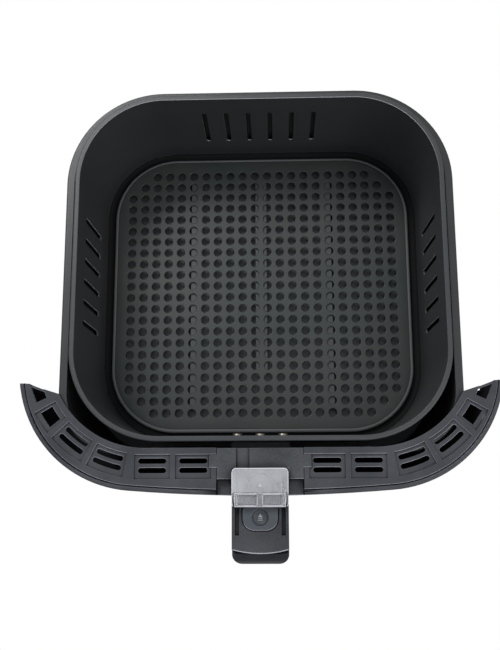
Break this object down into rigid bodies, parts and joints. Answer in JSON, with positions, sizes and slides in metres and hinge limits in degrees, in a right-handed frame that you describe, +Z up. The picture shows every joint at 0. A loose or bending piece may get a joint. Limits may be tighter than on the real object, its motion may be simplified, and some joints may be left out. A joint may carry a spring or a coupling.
{
  "type": "air fryer drawer",
  "caption": "Pull-out air fryer drawer: coated pan with a vented front cover, lift-out basket with a perforated floor, and a handle with a sprung release button and sliding clear guard.",
  "frame": {"origin": "under the middle of the whole drawer, on the plane that the pan stands on", "axes": "+Z up, -Y towards the handle, +X to the right when the drawer is seen from the handle's side"},
  "size_m": [0.2958, 0.3006, 0.0974],
  "materials": {
    "pan_coat": "satin non-stick coat",
    "basket_coat": "satin non-stick coat",
    "frame_plastic": "fine moulded grain",
    "handle_plastic": "fine moulded grain",
    "button_plastic": "smooth satin",
    "latch_plastic": "smooth",
    "clear_guard": "lightly frosted clear plastic",
    "bare_steel": "bright"
  },
  "bodies": {
    "pan": {"outer_pan": "pan_coat", "vent_frame": "frame_plastic", "front_panel": "frame_plastic", "pan_screws": "bare_steel", "panel_screws": "bare_steel", "latch_keeper": "bare_steel", "keeper_screws": "bare_steel"},
    "basket": {"basket": "basket_coat", "basket_floor": "basket_coat", "handle_bracket": "basket_coat", "bracket_rivets": "bare_steel", "handle_base": "handle_plastic", "base_screws": "bare_steel", "root_screws": "bare_steel", "handle_upper": "handle_plastic", "handle_lower": "handle_plastic", "handle_screws": "bare_steel", "latch_pin": "bare_steel", "button_spring": "bare_steel"},
    "button": {"release_button": "button_plastic"},
    "latch": {"latch_lever": "latch_plastic"},
    "guard": {"slide_guard": "clear_guard"}
  },
  "joints": [
    {"name": "basket_lift", "type": "slide", "parent": "pan", "child": "basket", "axis": [0, 0, 1], "range_m": [0, 0.12]},
    {"name": "button_press", "type": "slide", "parent": "basket", "child": "button", "axis": [0, 0, -1], "range_m": [0, 0.004], "stiffness_N_per_m": 400, "springref_m": -0.002, "deforming": ["button_spring"]},
    {"name": "latch_pivot", "type": "hinge", "parent": "basket", "child": "latch", "pos_m": [0, -0.09665, 0.0775], "axis": [1, 0, 0], "range_deg": [0, 9.8]},
    {"name": "guard_slide", "type": "slide", "parent": "basket", "child": "guard", "axis": [0, -1, 0], "range_m": [0, 0.018]}
  ],
  "couplings": [
    {"joint": "latch_pivot", "follows": "button_press", "rad_per_m": 42.6}
  ]
}
